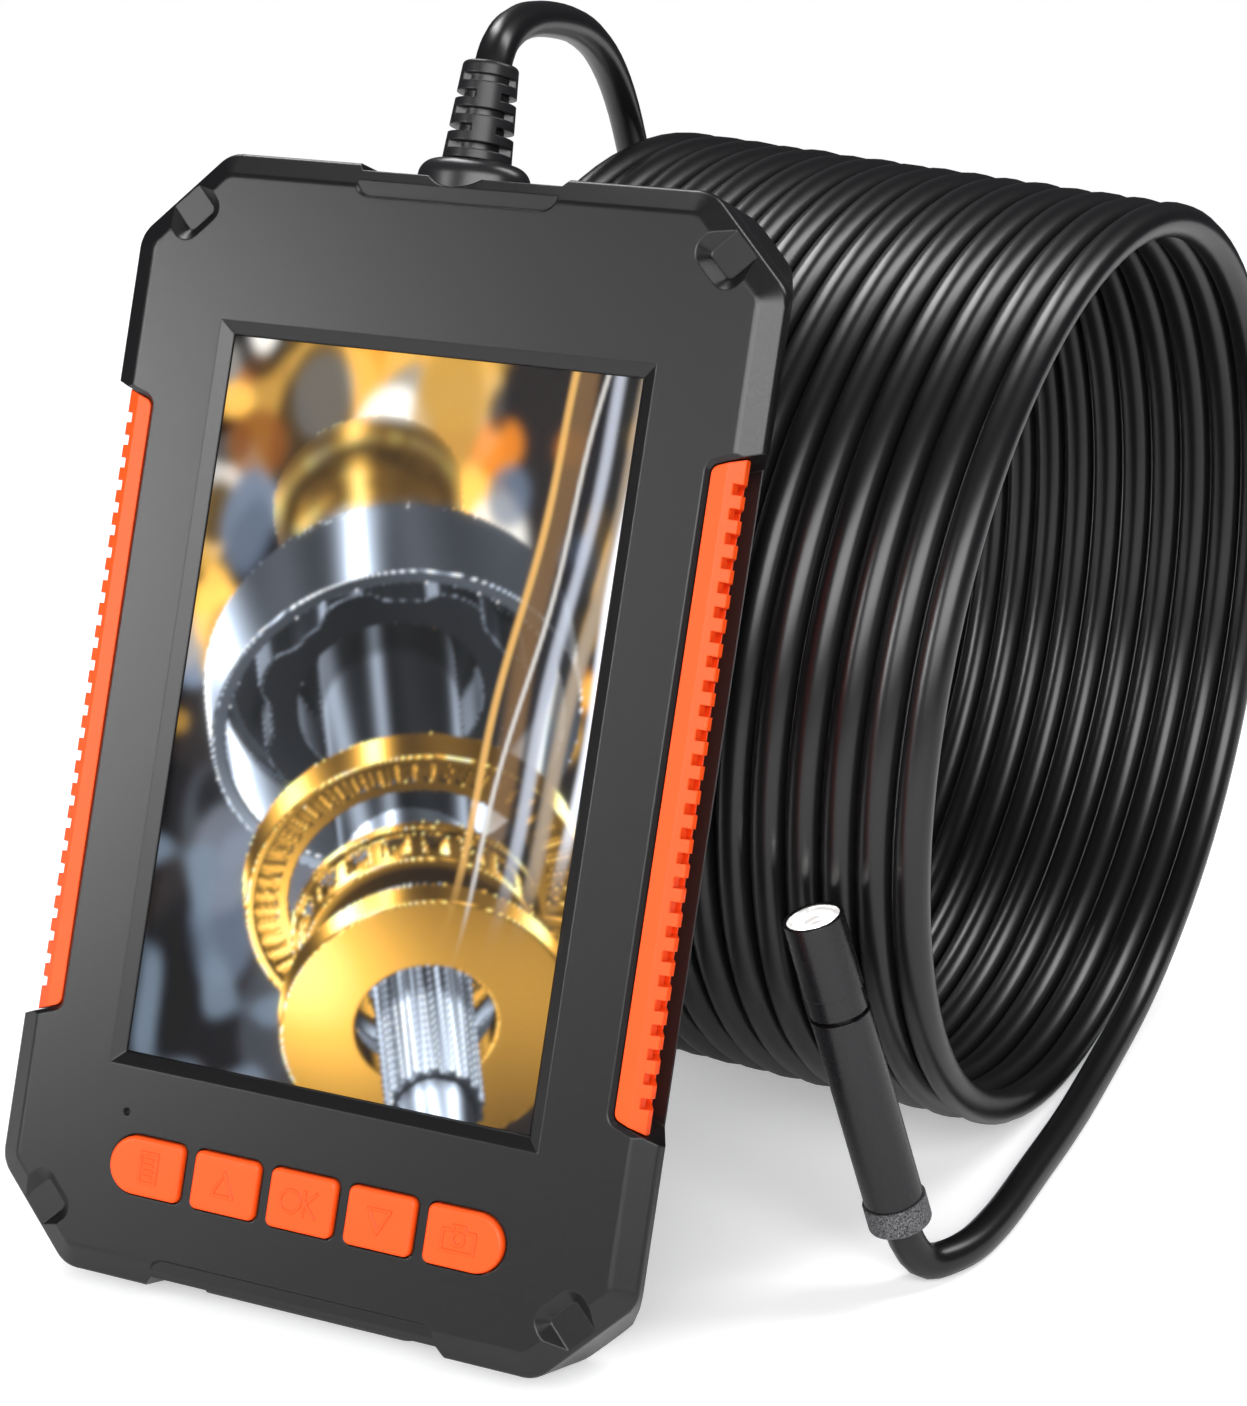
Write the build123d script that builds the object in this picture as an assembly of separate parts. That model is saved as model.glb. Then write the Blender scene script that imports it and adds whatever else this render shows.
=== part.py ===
from build123d import *
import math
import os

# Inspection camera: a handheld screen unit that leans back on its own coiled cable,
# with the probe head standing in front of the coil. Millimetres, +Z up.
# The unit is drawn upright: X to its right, Y into its depth from the face at 0,
# Z up from the middle of the face. stand() then leans it back on its lower rear edge.

# Screen unit, overall
HALF_WIDTH = 45.6
HALF_HEIGHT = 73.4
THICKNESS = 16.0
CORNER_CUT = 11.6
CORNER_ROUND = 4.5
BEVEL_WIDTH = 3.2
BEVEL_DEPTH = 1.8
FACE_EDGE_ROUND = 1.4
RIM_ROUND = 0.7
WIDEST_DEPTH = 3.4
BACK_HALF_WIDTH = 40.2
BACK_ROUND = 3.0
FOOT_ROUND = 2.5
SPLIT_DEPTH = 6.0
LEAN = 21.8
SHIFT_BACK = -7.7

# Walls and inner space
FACE_WALL = 1.9
BACK_WALL = 2.0
CAVITY_HALF_WIDTH = 37.2
CAVITY_HALF_HEIGHT = 70.6
CAVITY_CUT = 9.0

# Notches in the top and bottom edges: half width, depth, and where the shallow step in the face ends
TOP_NOTCH = (14.0, 1.0, 69.0)
BOTTOM_NOTCH = (20.5, 1.4, 69.6)
NOTCH_STEP = 0.45
NOTCH_CORNER = 2.0

# Finger pockets in the clipped corners
POCKET_DEPTH = 1.5
POCKET_WALL = 1.6
POCKET_HALF_WIDTH = 2.2
POCKET_FLOOR_REACH = 71.0
POCKET_ROUND = 0.7

# Screen opening and the stack behind it
SCREEN = (57.5, 93.6)
BEZEL_FRAME = (61.2, 97.3)
SCREEN_UP = 2.8
BEZEL_DEPTH = 1.0
GLASS = (62.4, 98.6)
SEAL_THICK = 0.3
GLASS_THICK = 0.8
PANEL = (60.0, 96.0)
PANEL_THICK = 1.3
TRAY_THICK = 3.1

# Keys
KEY_SIZE = (9.4, 7.5)
KEY_PITCH = 11.1
KEY_END_REACH = 28.1
KEY_EDGE_ROUND = 0.55
KEY_UP = -58.1
KEY_RAISED = 0.8
KEY_GAP = 0.2
KEY_TRAVEL = 0.6
KEY_LIP = 0.5
PLUNGER_END = 4.0
ICON_RAISED = 0.14
ICON_LINE = 0.34

# Main board
BOARD = (60.0, 126.0)
BOARD_UP = -4.0
BOARD_FRONT = 5.6
BOARD_THICK = 1.4

# Side grips
GRIP_INNER = 39.4
GRIP_OUTER = 43.5
GRIP_HALF_LENGTH = 40.0
GRIP_END_SLANT = 2.2
GRIP_SET_BACK = 0.55
GRIP_GAP = 0.15
GRIP_DEPTH = 10.6
NOTCH_EDGE = 0.6
SLOT_COUNT = 26
SLOT_PITCH = 3.0
SLOT_WIDTH = 1.35

# Gland and strain relief, on the top edge
GLAND_AT = (-0.8, 6.5)
GLAND_SIZE = (15.2, 12.0)
GLAND_TALL = 2.9
GLAND_SUNK = 1.4
GLAND_ROUND = 2.3
BOOT_RADII = (4.5, 3.6)
BOOT_LENGTH = 12.8

# Cable
CABLE = 4.8
COIL_TURNS = 16
COIL_LEFT = (-1.6, 83.1)
COIL_OUTER_LEFT = 67.9
COIL_OUTER_RIGHT = 66.1
COIL_LENGTH = 74.0
COIL_YAW = -5.3

# Probe head, measured from the cable end of the collar
HEAD_FOOT = (65.5, 11.8, 9.9)
HEAD_TIP = (54.0, 6.5, 54.4)
HEAD_DIAMETER = 7.9
NECK_DIAMETER = 7.55
HEAD_BORE = 6.3
COLLAR_DIAMETER = 8.5
COLLAR_LENGTH = 3.9
BARREL_LENGTH = 28.3
GROOVE = 0.5
NECK_LENGTH = 3.0
CAP_LENGTH = 13.3
WINDOW_DIAMETER = 6.9
WINDOW_THICK = 1.0

SCREW_AT = [(33.0, 62.5), (35.1, 6.0), (33.0, -62.5)]
STANDOFF_AT = [(26.0, 56.8), (22.0, -65.7)]


def slab(face, near, far, taper=0.0):
    """A flat shape in the face plane, made solid from depth near to depth far."""
    return extrude(Plane.XZ.offset(-far) * face, amount=far - near, taper=taper)


def block(x0, x1, y0, y1, z0, z1):
    centre = ((x0 + x1) / 2, (y0 + y1) / 2, (z0 + z1) / 2)
    return Pos(*centre) * Box(x1 - x0, y1 - y0, z1 - z0)


def rod(x, z, near, far, diameter):
    """A round bar along the depth of the unit."""
    return Pos(x, (near + far) / 2, z) * Rot(X=90) * Cylinder(diameter / 2, far - near)


def flat(*points):
    """A flat outline. Its points are put anticlockwise, so that all extrude the same way."""
    area = sum(x0 * z1 - x1 * z0 for (x0, z0), (x1, z1) in zip(points, points[1:] + points[:1]))
    ordered = points if area > 0 else points[::-1]
    return Polygon(*ordered, align=None)


def mirrored(points):
    return [(side * x, z) for x, z in points for side in (-1, 1)]


def clipped_outline(half_width, half_height, cut):
    corners = [
        (half_width, half_height - cut), (half_width - cut, half_height),
        (cut - half_width, half_height), (-half_width, half_height - cut),
        (-half_width, cut - half_height), (cut - half_width, -half_height),
        (half_width - cut, -half_height), (half_width, cut - half_height),
    ]
    return flat(*corners)


def lowest_point():
    """How far the rounded rear edge reaches below the face's middle once it leans."""
    lean = math.radians(LEAN)
    up = HALF_HEIGHT - FOOT_ROUND
    back = THICKNESS - FOOT_ROUND
    return math.cos(lean) * up + math.sin(lean) * back + FOOT_ROUND


def stand(shape):
    return Pos(0, SHIFT_BACK, lowest_point()) * Rot(X=-LEAN) * shape


# ---------- Casing ----------

def level_edges(body, depth):
    """The edges that lie wholly at one depth."""
    return body.edges().filter_by_position(Axis.Y, depth - 0.01, depth + 0.01)


def casing_block():
    """The outside of the closed case, as one block before it is hollowed and split."""
    sharp = clipped_outline(HALF_WIDTH, HALF_HEIGHT, CORNER_CUT)
    outline = fillet(sharp.vertices(), CORNER_ROUND)
    slope = math.degrees(math.atan2(BEVEL_WIDTH, BEVEL_DEPTH))
    body = slab(outline, BEVEL_DEPTH, THICKNESS) + slab(outline, 0, BEVEL_DEPTH, taper=slope)
    body = fillet(level_edges(body, BEVEL_DEPTH), RIM_ROUND)
    body = fillet(level_edges(body, 0), FACE_EDGE_ROUND)
    across = flat(
        (-HALF_WIDTH - 1, -1), (HALF_WIDTH + 1, -1), (HALF_WIDTH + 1, WIDEST_DEPTH),
        (HALF_WIDTH, WIDEST_DEPTH), (BACK_HALF_WIDTH, THICKNESS), (-BACK_HALF_WIDTH, THICKNESS),
        (-HALF_WIDTH, WIDEST_DEPTH), (-HALF_WIDTH - 1, WIDEST_DEPTH))
    across = fillet(across.vertices().sort_by(Axis.Y)[-2:], BACK_ROUND)
    along = flat(
        (-1, -HALF_HEIGHT), (THICKNESS, -HALF_HEIGHT),
        (THICKNESS, HALF_HEIGHT), (-1, HALF_HEIGHT))
    along = fillet(along.vertices().sort_by(Axis.X)[-2:], FOOT_ROUND)
    body &= extrude(Plane.XY.offset(-90) * across, amount=180)
    body &= extrude(Plane.YZ.offset(-60) * along, amount=120)
    return cut_edge_notches(body)


def cut_edge_notches(body):
    """A notch in each end edge, with a shallow round-cornered step in the face beside it."""
    for (half, deep, reach), end in ((TOP_NOTCH, 1), (BOTTOM_NOTCH, -1)):
        edge = HALF_HEIGHT - deep
        notch = flat((-half, end * edge), (half, end * edge),
                     (half + 2.4, end * (edge + 3)), (-half - 2.4, end * (edge + 3)))
        step = Pos(0, end * (reach + 5)) * RectangleRounded(2 * half, 10, NOTCH_CORNER)
        body -= slab(notch, -1, THICKNESS + 1)
        body -= slab(step, -1, NOTCH_STEP, taper=-30)
    return body


def corner_pocket(side, end):
    """A finger pocket with sloping walls, open towards the clipped corner."""
    half = POCKET_HALF_WIDTH
    middle = HALF_WIDTH - HALF_HEIGHT
    points = []
    for along, out in ((-half, POCKET_FLOOR_REACH), (half, POCKET_FLOOR_REACH), (half, 90), (-half, 90)):
        shift = along + middle / math.sqrt(2)
        points.append(((out + shift) / math.sqrt(2), (out - shift) / math.sqrt(2)))
    floor = flat(*[(side * x, end * z) for x, z in points])
    inner = floor.vertices().sort_by(lambda corner: abs(corner.X) + abs(corner.Y))[:2]
    slope = math.degrees(math.atan2(POCKET_WALL, POCKET_DEPTH))
    return slab(fillet(inner, POCKET_ROUND), -0.3, POCKET_DEPTH, taper=-slope)


def grip_notch_outline(side, gap=0.0):
    """The side notch, seen from the front, with slanted ends and round inner corners."""
    inner = GRIP_INNER + gap
    outer = HALF_WIDTH + 4
    z = GRIP_HALF_LENGTH - gap
    slant = GRIP_END_SLANT * (outer - inner) / (HALF_WIDTH - GRIP_INNER)
    points = [(inner, -z), (outer, -z - slant), (outer, z + slant), (inner, z)]
    ends = flat(*[(side * x, up) for x, up in points])
    corners = ends.vertices().sort_by(lambda corner: abs(corner.X))[:2]
    return fillet(corners, 1.2)


def grip_notch(side):
    outline = grip_notch_outline(side)
    return slab(outline, -1, GRIP_DEPTH) + slab(outline, -0.2, NOTCH_EDGE, taper=-45)


def inner_space():
    outline = clipped_outline(CAVITY_HALF_WIDTH, CAVITY_HALF_HEIGHT, CAVITY_CUT)
    return slab(outline, FACE_WALL, THICKNESS - BACK_WALL)


def seal_ring():
    """The loop of the case seal, half in each shell."""
    loops = [clipped_outline(CAVITY_HALF_WIDTH + grow, CAVITY_HALF_HEIGHT + grow, CAVITY_CUT + grow / 2)
             for grow in (1.3, 0.5)]
    ring = slab(loops[0] - loops[1], SPLIT_DEPTH - 0.6, SPLIT_DEPTH + 0.6)
    return ring - gland_hole() - gland_seat()


def gland_hole():
    x, y = GLAND_AT
    return Pos(x, y, HALF_HEIGHT - 2) * Cylinder(3.5, 12)


def gland_seat():
    """The pocket that the lower part of the gland sits in."""
    x, y = GLAND_AT
    wide, deep = GLAND_SIZE
    seat = HALF_HEIGHT - TOP_NOTCH[1] - GLAND_SUNK
    return Pos(x, y, seat) * extrude(Ellipse(wide / 2, deep / 2), amount=10)


def cut_case(body):
    for side in (-1, 1):
        body -= grip_notch(side)
        for end in (-1, 1):
            body -= corner_pocket(side, end)
    return body - gland_hole() - gland_seat() - seal_ring()


def key_outline(number, grow=0.0):
    """Key 0 to 4 from the left. The end keys have a full round outer end."""
    width, tall = KEY_SIZE
    centre = (number - 2) * KEY_PITCH
    if number in (1, 2, 3):
        return Pos(centre, KEY_UP) * RectangleRounded(width + 2 * grow, tall + 2 * grow, 1.0 + grow)
    side = -1 if number == 0 else 1
    inner = abs(centre) - width / 2 - grow
    round_at = KEY_END_REACH - tall / 2
    flat = Pos(side * (inner + round_at) / 2, KEY_UP) * Rectangle(round_at - inner, tall + 2 * grow)
    flat = fillet(flat.vertices().sort_by(Axis.X)[2:] if side < 0
                  else flat.vertices().sort_by(Axis.X)[:2], 1.0 + grow)
    return flat + Pos(side * round_at, KEY_UP) * Circle(tall / 2 + grow)


def screen_cut():
    opening = Pos(0, SCREEN_UP) * Rectangle(*SCREEN)
    frame = Pos(0, SCREEN_UP) * Rectangle(*BEZEL_FRAME)
    slope = loft([Plane.XZ.offset(0) * frame, Plane.XZ.offset(-BEZEL_DEPTH) * opening], ruled=True)
    pocket = Pos(0, SCREEN_UP) * Rectangle(GLASS[0] + 0.4, GLASS[1] + 0.4)
    return slope + slab(opening, 0.5, 3) + slab(pocket, BEZEL_DEPTH, 3)


def front_shell(case):
    shell = case & block(-60, 60, -2, SPLIT_DEPTH, -90, 90)
    shell -= inner_space()
    for x, z in mirrored(SCREW_AT):
        shell += rod(x, z, FACE_WALL - 0.2, SPLIT_DEPTH, 4.8)
        shell -= rod(x, z, 3.0, SPLIT_DEPTH + 1, 2.0)
    for x, z in mirrored(STANDOFF_AT):
        shell += rod(x, z, FACE_WALL - 0.2, BOARD_FRONT, 3.6)
        shell -= rod(x, z, 3.0, BOARD_FRONT + 1, 1.4)
    shell -= screen_cut()
    for number in range(5):
        shell -= slab(key_outline(number, KEY_GAP), -1, 2.5)
    shell -= rod(-27.0, -51.7, -1, 3, 1.0)
    return shell


def rear_shell(case):
    shell = case & block(-60, 60, SPLIT_DEPTH, 20, -90, 90)
    shell -= inner_space()
    for x, z in mirrored(SCREW_AT):
        shell += rod(x, z, SPLIT_DEPTH, THICKNESS - BACK_WALL + 0.2, 4.8)
        shell -= rod(x, z, SPLIT_DEPTH - 1, THICKNESS, 2.2)
        shell -= rod(x, z, 13.2, THICKNESS + 1, 3.8)
    for x0, x1, y0, y1 in (USB_SPAN, CARD_SPAN):
        shell -= block(x0 - 0.2, x1 + 0.2, y0, y1 + 0.2, -HALF_HEIGHT - 1, -CAVITY_HALF_HEIGHT + 1)
    return shell


# ---------- Screen stack ----------

def framed(outer, inner, near, far):
    ring = Pos(0, SCREEN_UP) * (Rectangle(*outer) - Rectangle(*inner))
    return slab(ring, near, far)


def screen_parts():
    glass_near = BEZEL_DEPTH + SEAL_THICK
    panel_near = glass_near + GLASS_THICK
    flat = Pos(0, SCREEN_UP) * RectangleRounded(*GLASS, 1.0)
    panel = Pos(0, SCREEN_UP) * Rectangle(*PANEL)
    seal_inner = (SCREEN[0] + 0.6, SCREEN[1] + 0.6)
    tray_outer = Pos(0, SCREEN_UP) * Rectangle(GLASS[0], GLASS[1])
    tray = slab(tray_outer, panel_near, panel_near + TRAY_THICK)
    tray -= slab(panel, panel_near - 1, panel_near + PANEL_THICK)
    return {
        "window_seal": framed(GLASS, seal_inner, BEZEL_DEPTH, glass_near),
        "display_window": slab(flat, glass_near, panel_near),
        "display_panel": slab(panel, panel_near, panel_near + PANEL_THICK),
        "display_tray": tray,
    }


# ---------- Keys and their marks ----------

def stroke(x0, z0, x1, z1):
    """One raised line of a mark, from point to point."""
    length = math.hypot(x1 - x0, z1 - z0)
    angle = math.degrees(math.atan2(z1 - z0, x1 - x0))
    line = Pos((x0 + x1) / 2, (z0 + z1) / 2) * Rot(Z=angle) * Rectangle(length + ICON_LINE, ICON_LINE)
    return slab(line, -KEY_RAISED - ICON_RAISED, -KEY_RAISED + 0.3)


def outline_strokes(points):
    closed = points + points[:1]
    return [stroke(*a, *b) for a, b in zip(closed, closed[1:])]


def ring_mark(radius, x=0.0):
    ring = Pos(x, 0) * (Circle(radius + ICON_LINE / 2) - Circle(radius - ICON_LINE / 2))
    return slab(ring, -KEY_RAISED - ICON_RAISED, -KEY_RAISED + 0.3)


def key_mark(number):
    if number == 0:
        page = outline_strokes([(-1.2, -1.9), (1.2, -1.9), (1.2, 1.9), (-1.2, 1.9)])
        return page + [stroke(-0.5, z, 0.5, z) for z in (-1.1, -0.37, 0.37, 1.1)]
    if number == 1:
        return outline_strokes([(-1.5, -1.4), (1.5, -1.4), (0.0, 1.6)])
    if number == 2:
        letter = [stroke(0.6, -1.5, 0.6, 1.5), stroke(0.8, 0.0, 2.2, 1.5), stroke(0.8, 0.0, 2.2, -1.5)]
        return [ring_mark(1.4, -1.4)] + letter
    if number == 3:
        return outline_strokes([(-1.5, 1.4), (1.5, 1.4), (0.0, -1.6)])
    body = outline_strokes([(-2.2, -1.6), (2.2, -1.6), (2.2, 1.0), (1.0, 1.0),
                            (0.7, 1.6), (-0.7, 1.6), (-1.0, 1.0), (-2.2, 1.0)])
    return body + [ring_mark(0.8)]


def key(number):
    outline = key_outline(number)
    cap = slab(outline, -KEY_RAISED, 2.6)
    front = cap.faces().sort_by(Axis.Y)[0]
    cap = fillet(front.edges(), KEY_EDGE_ROUND)
    cap += slab(key_outline(number, KEY_LIP), 2.0, 2.6)
    centre = (number - 2) * KEY_PITCH
    cap += rod(centre, KEY_UP, 2.5, PLUNGER_END, 3.0)
    for line in key_mark(number):
        cap += Pos(centre, 0, KEY_UP) * line
    return cap


KEY_NAMES = ["key_menu", "key_up", "key_ok", "key_down", "key_capture"]


# ---------- Inside ----------

USB_SPAN = (5.0, 14.0, 7.0, 10.2)
CARD_SPAN = (-13.0, 1.0, 7.0, 9.0)
SOCKET_FRONT = -72.0


def dome_switch(number):
    x = (number - 2) * KEY_PITCH
    base = block(x - 2.25, x + 2.25, 5.0, BOARD_FRONT, KEY_UP - 2.25, KEY_UP + 2.25)
    return base + rod(x, KEY_UP, 4.7, 5.1, 2.2)


def usb_socket():
    x0, x1, y0, y1 = USB_SPAN
    middle = ((x0 + x1) / 2, (y0 + y1) / 2)
    shell = block(x0, x1, y0, y1, SOCKET_FRONT, SOCKET_FRONT + 7.4)
    mouth = Pos(*middle, SOCKET_FRONT) * extrude(RectangleRounded(8.2, 2.4, 1.1), amount=6)
    tongue = block(middle[0] - 3.3, middle[0] + 3.3, middle[1] - 0.35, middle[1] + 0.35,
                   SOCKET_FRONT + 1, SOCKET_FRONT + 6.2)
    return shell - mouth + tongue


def card_parts():
    x0, x1, y0, y1 = CARD_SPAN
    shell = block(x0, x1, y0, y1, SOCKET_FRONT, SOCKET_FRONT + 15)
    card = block(x0 + 1.5, x1 - 1.5, y0 + 0.5, y0 + 1.5, SOCKET_FRONT, SOCKET_FRONT + 14.4)
    return {"card_socket": shell - card, "memory_card": card}


def main_board():
    width, tall = BOARD
    plate = slab(Pos(0, BOARD_UP) * RectangleRounded(width, tall, 1.5),
                 BOARD_FRONT, BOARD_FRONT + BOARD_THICK)
    for x, z in mirrored(STANDOFF_AT):
        plate -= rod(x, z, 4, 9, 1.4)
    return plate


def board_screw(x, z):
    back = BOARD_FRONT + BOARD_THICK
    return rod(x, z, 3.2, back, 1.4) + rod(x, z, back, back + 0.9, 2.8)


def shell_screw(x, z):
    body = rod(x, z, 3.4, 13.2, 2.0) + rod(x, z, 13.2, 14.9, 3.6)
    slots = block(x - 1.2, x + 1.2, 14.2, 16, z - 0.25, z + 0.25)
    slots += block(x - 0.25, x + 0.25, 14.2, 16, z - 1.2, z + 1.2)
    return body - slots


def port_cover():
    """A rubber flap in the bottom notch, with a rolled edge at its hinge side."""
    floor = -HALF_HEIGHT + BOTTOM_NOTCH[1] - 0.15
    flap = block(-15, 15, 5.2, 12.4, -HALF_HEIGHT + 0.15, floor)
    edges = flap.edges().filter_by(Axis.Z)
    flap = fillet(edges, 1.2)
    return flap - block(-6, 6, 11.9, 13, -HALF_HEIGHT - 1, floor - 0.5)


# ---------- Grips, gland and strain relief ----------

def grip(side):
    """A rubber strip with a bevelled front edge and a row of slots across its side."""
    fall = (HALF_WIDTH - BACK_HALF_WIDTH) / (THICKNESS - WIDEST_DEPTH)
    rear_depth = GRIP_DEPTH - GRIP_GAP
    rear = GRIP_OUTER - (rear_depth - 3.0) * fall
    base = GRIP_OUTER - 1.1
    profile = [(GRIP_INNER, GRIP_SET_BACK), (GRIP_OUTER - 1.9, GRIP_SET_BACK), (GRIP_OUTER, 1.7),
               (GRIP_OUTER, 3.0), (rear, rear_depth), (GRIP_INNER, rear_depth)]
    slot = [(base, -1), (base, 3.0), (base - 5.0 * fall, 8.0), (base + 4, 8.0), (base + 4, -1)]
    length = 2 * (GRIP_HALF_LENGTH + GRIP_END_SLANT)
    strip = extrude(Plane.XY.offset(-length / 2) * flat(*[(side * x, y) for x, y in profile]), amount=length)
    strip &= slab(grip_notch_outline(side, GRIP_GAP), -1, GRIP_DEPTH)
    cutter = flat(*[(side * x, y) for x, y in slot])
    for number in range(SLOT_COUNT):
        low = (number - (SLOT_COUNT - 1) / 2) * SLOT_PITCH - SLOT_WIDTH / 2
        strip -= extrude(Plane.XY.offset(low) * cutter, amount=SLOT_WIDTH)
    return strip


def gland():
    x, y = GLAND_AT
    wide, deep = GLAND_SIZE
    seat = HALF_HEIGHT - TOP_NOTCH[1] - GLAND_SUNK
    tall = GLAND_TALL + GLAND_SUNK
    flange = Pos(x, y, seat) * extrude(Ellipse(wide / 2 - 0.05, deep / 2 - 0.05), amount=tall)
    top = flange.faces().sort_by(Axis.Z)[-1]
    flange = fillet(top.edges(), GLAND_ROUND)
    neck_foot = CAVITY_HALF_HEIGHT - 3.0
    neck = Pos(x, y, neck_foot) * extrude(Circle(3.5), amount=seat - neck_foot)
    return flange + neck - Pos(x, y, seat) * Cylinder(CABLE / 2, 20)


def gland_nut():
    x, y = GLAND_AT
    ring = extrude(RegularPolygon(4.1, 6) - Circle(3.5), amount=2.2)
    return Pos(x, y, CAVITY_HALF_HEIGHT - 2.2) * ring


def strain_relief():
    """A tapered boot, slit on alternate sides so that it bends."""
    low, high = BOOT_RADII
    x, y = GLAND_AT
    foot = HALF_HEIGHT - TOP_NOTCH[1] + GLAND_TALL
    boot = Pos(0, 0, BOOT_LENGTH / 2) * Cone(low, high, BOOT_LENGTH)
    boot = fillet(boot.faces().sort_by(Axis.Z)[-1].edges(), 0.6)
    boot -= Pos(0, 0, BOOT_LENGTH / 2) * Cylinder(CABLE / 2, BOOT_LENGTH + 2)
    for level in range(5):
        height = 1.7 + level * 2.2
        slit = Pos(0, 0, height) * (Cylinder(7, 1.0) - Cylinder(2.9, 1.0))
        bridge = Pos(0, 0, height) * Rot(Z=30 + 90 * (level % 2)) * Box(16, 3.2, 1.0)
        boot -= slit - bridge
    return Pos(x, y, foot) * boot


# ---------- Cable ----------

LEAD_ROUTE = [
    (-0.8, 29.20, 148.08), (-0.8, 31.4, 153.5), (-1.7, 37.8, 156.5), (-2.9, 49.0, 156.7),
    (-5.2, 70.0, 152.6), (-7.0, 85.0, 143.3), (-8.2, 95.5, 128.0), (-8.7, 106.5, 104.0),
    (-8.9, 115.6, 78.0), (-8.6, 120.2, 51.0), (-7.6, 114.7, 26.0), (-6.0, 101.7, 8.6),
    (-4.4, 83.3, 2.4),
]
TAIL_ROUTE = [
    (74.2, 76.0, 2.4), (74.4, 60.5, 2.4), (73.8, 44.0, 2.4), (73.4, 30.5, 2.4),
    (71.8, 20.3, 2.4), (66.6, 12.6, 3.0), (64.8, 11.4, 12.8),
]


def corner_radii(route):
    """Each arc is as large as its two runs allow."""
    points = [Vector(*point) for point in route]
    radii = []
    for before, here, after in zip(points, points[1:], points[2:]):
        incoming = here - before
        outgoing = after - here
        half_turn = math.radians(incoming.get_angle(outgoing)) / 2
        radii.append(0.45 * min(incoming.length, outgoing.length) / math.tan(half_turn))
    return radii


def tube(route):
    radii = corner_radii(route)
    path = FilletPolyline(*route, radius=radii)
    section = Plane(origin=path @ 0, z_dir=path % 0) * Circle(CABLE / 2)
    solid = sweep(section, path=path)
    expected = math.pi * (CABLE / 2) ** 2 * path.length
    print("cable radii", [round(radius, 1) for radius in radii])
    print("cable run", round(path.length, 1), "volume ratio", round(solid.volume / expected, 4))
    return solid


def coil_axis():
    """The coil stands on its rim, so its line dips towards its smaller, right end."""
    yaw = math.radians(COIL_YAW)
    dip = math.asin((COIL_OUTER_LEFT - COIL_OUTER_RIGHT) / COIL_LENGTH)
    return Vector(math.cos(dip) * math.cos(yaw), math.cos(dip) * math.sin(yaw), -math.sin(dip))


def coil():
    """The outer shape of all the turns: a slightly tapered hollow sleeve."""
    pitch = COIL_LENGTH / (COIL_TURNS - 1)
    start = -0.5 * pitch - CABLE / 2
    end = COIL_LENGTH + 0.5 * pitch + CABLE / 2
    narrowing = (COIL_OUTER_LEFT - COIL_OUTER_RIGHT) / COIL_LENGTH
    outer = [(COIL_OUTER_LEFT - narrowing * along, along) for along in (start, end)]
    inner = [(radius - CABLE, along) for radius, along in reversed(outer)]
    wall = Plane.XZ * flat(*outer, *inner)
    sleeve = revolve(wall, Axis.Z)
    centre = (COIL_LEFT[0], COIL_LEFT[1], COIL_OUTER_LEFT)
    return Plane(origin=centre, z_dir=coil_axis()).location * sleeve


# ---------- Probe head ----------

def ring(outer, inner, low, high):
    wall = Cylinder(outer / 2, high - low)
    if inner:
        wall -= Cylinder(inner / 2, high - low + 1)
    return Pos(0, 0, (low + high) / 2) * wall


def probe_parts():
    barrel_top = COLLAR_LENGTH + BARREL_LENGTH
    tip = barrel_top + CAP_LENGTH
    seat = tip - WINDOW_THICK
    collar = ring(COLLAR_DIAMETER, CABLE, 0, COLLAR_LENGTH)
    collar = fillet(collar.edges().filter_by(GeomType.CIRCLE).sort_by(Axis.Z)[:2].sort_by(
        SortBy.RADIUS)[-1:], 0.6)
    barrel = ring(HEAD_DIAMETER, HEAD_BORE, COLLAR_LENGTH, barrel_top - GROOVE)
    barrel += ring(HEAD_BORE + 0.2, 0, COLLAR_LENGTH, COLLAR_LENGTH + 1.2)
    cap = ring(NECK_DIAMETER, HEAD_BORE - 0.9, barrel_top, barrel_top + NECK_LENGTH)
    cap += ring(HEAD_DIAMETER, HEAD_BORE - 0.9, barrel_top + NECK_LENGTH, seat)
    cap += ring(HEAD_DIAMETER, WINDOW_DIAMETER, seat, tip)
    cap += ring(HEAD_BORE, HEAD_BORE - 0.9, barrel_top - 5, barrel_top)
    return {
        "probe_collar": collar,
        "probe_barrel": barrel,
        "probe_cap": cap,
        "probe_window": ring(WINDOW_DIAMETER, 0, seat, tip - 0.15),
        "lamp_board": ring(5.4, 2.6, seat - 1.4, seat - 0.8),
        "probe_lamps": lamps(seat),
        "lens_barrel": ring(2.6, 0, seat - 5.0, seat),
        "sensor_board": ring(5.2, 0, seat - 5.8, seat - 5.0),
    }


def lamps(seat):
    """Six white lamps in a circle round the lens."""
    chips = []
    for number in range(6):
        angle = 60 * number
        chips.append(Rot(Z=angle) * Pos(2.0, 0, seat - 0.45) * Box(0.9, 0.9, 0.7))
    return Compound(children=chips)


def place_head(shape):
    foot = Vector(*HEAD_FOOT)
    direction = (Vector(*HEAD_TIP) - foot).normalized()
    return Plane(origin=foot, x_dir=(1, 0, 0.2), z_dir=direction).location * shape


# ---------- Everything ----------

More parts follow.
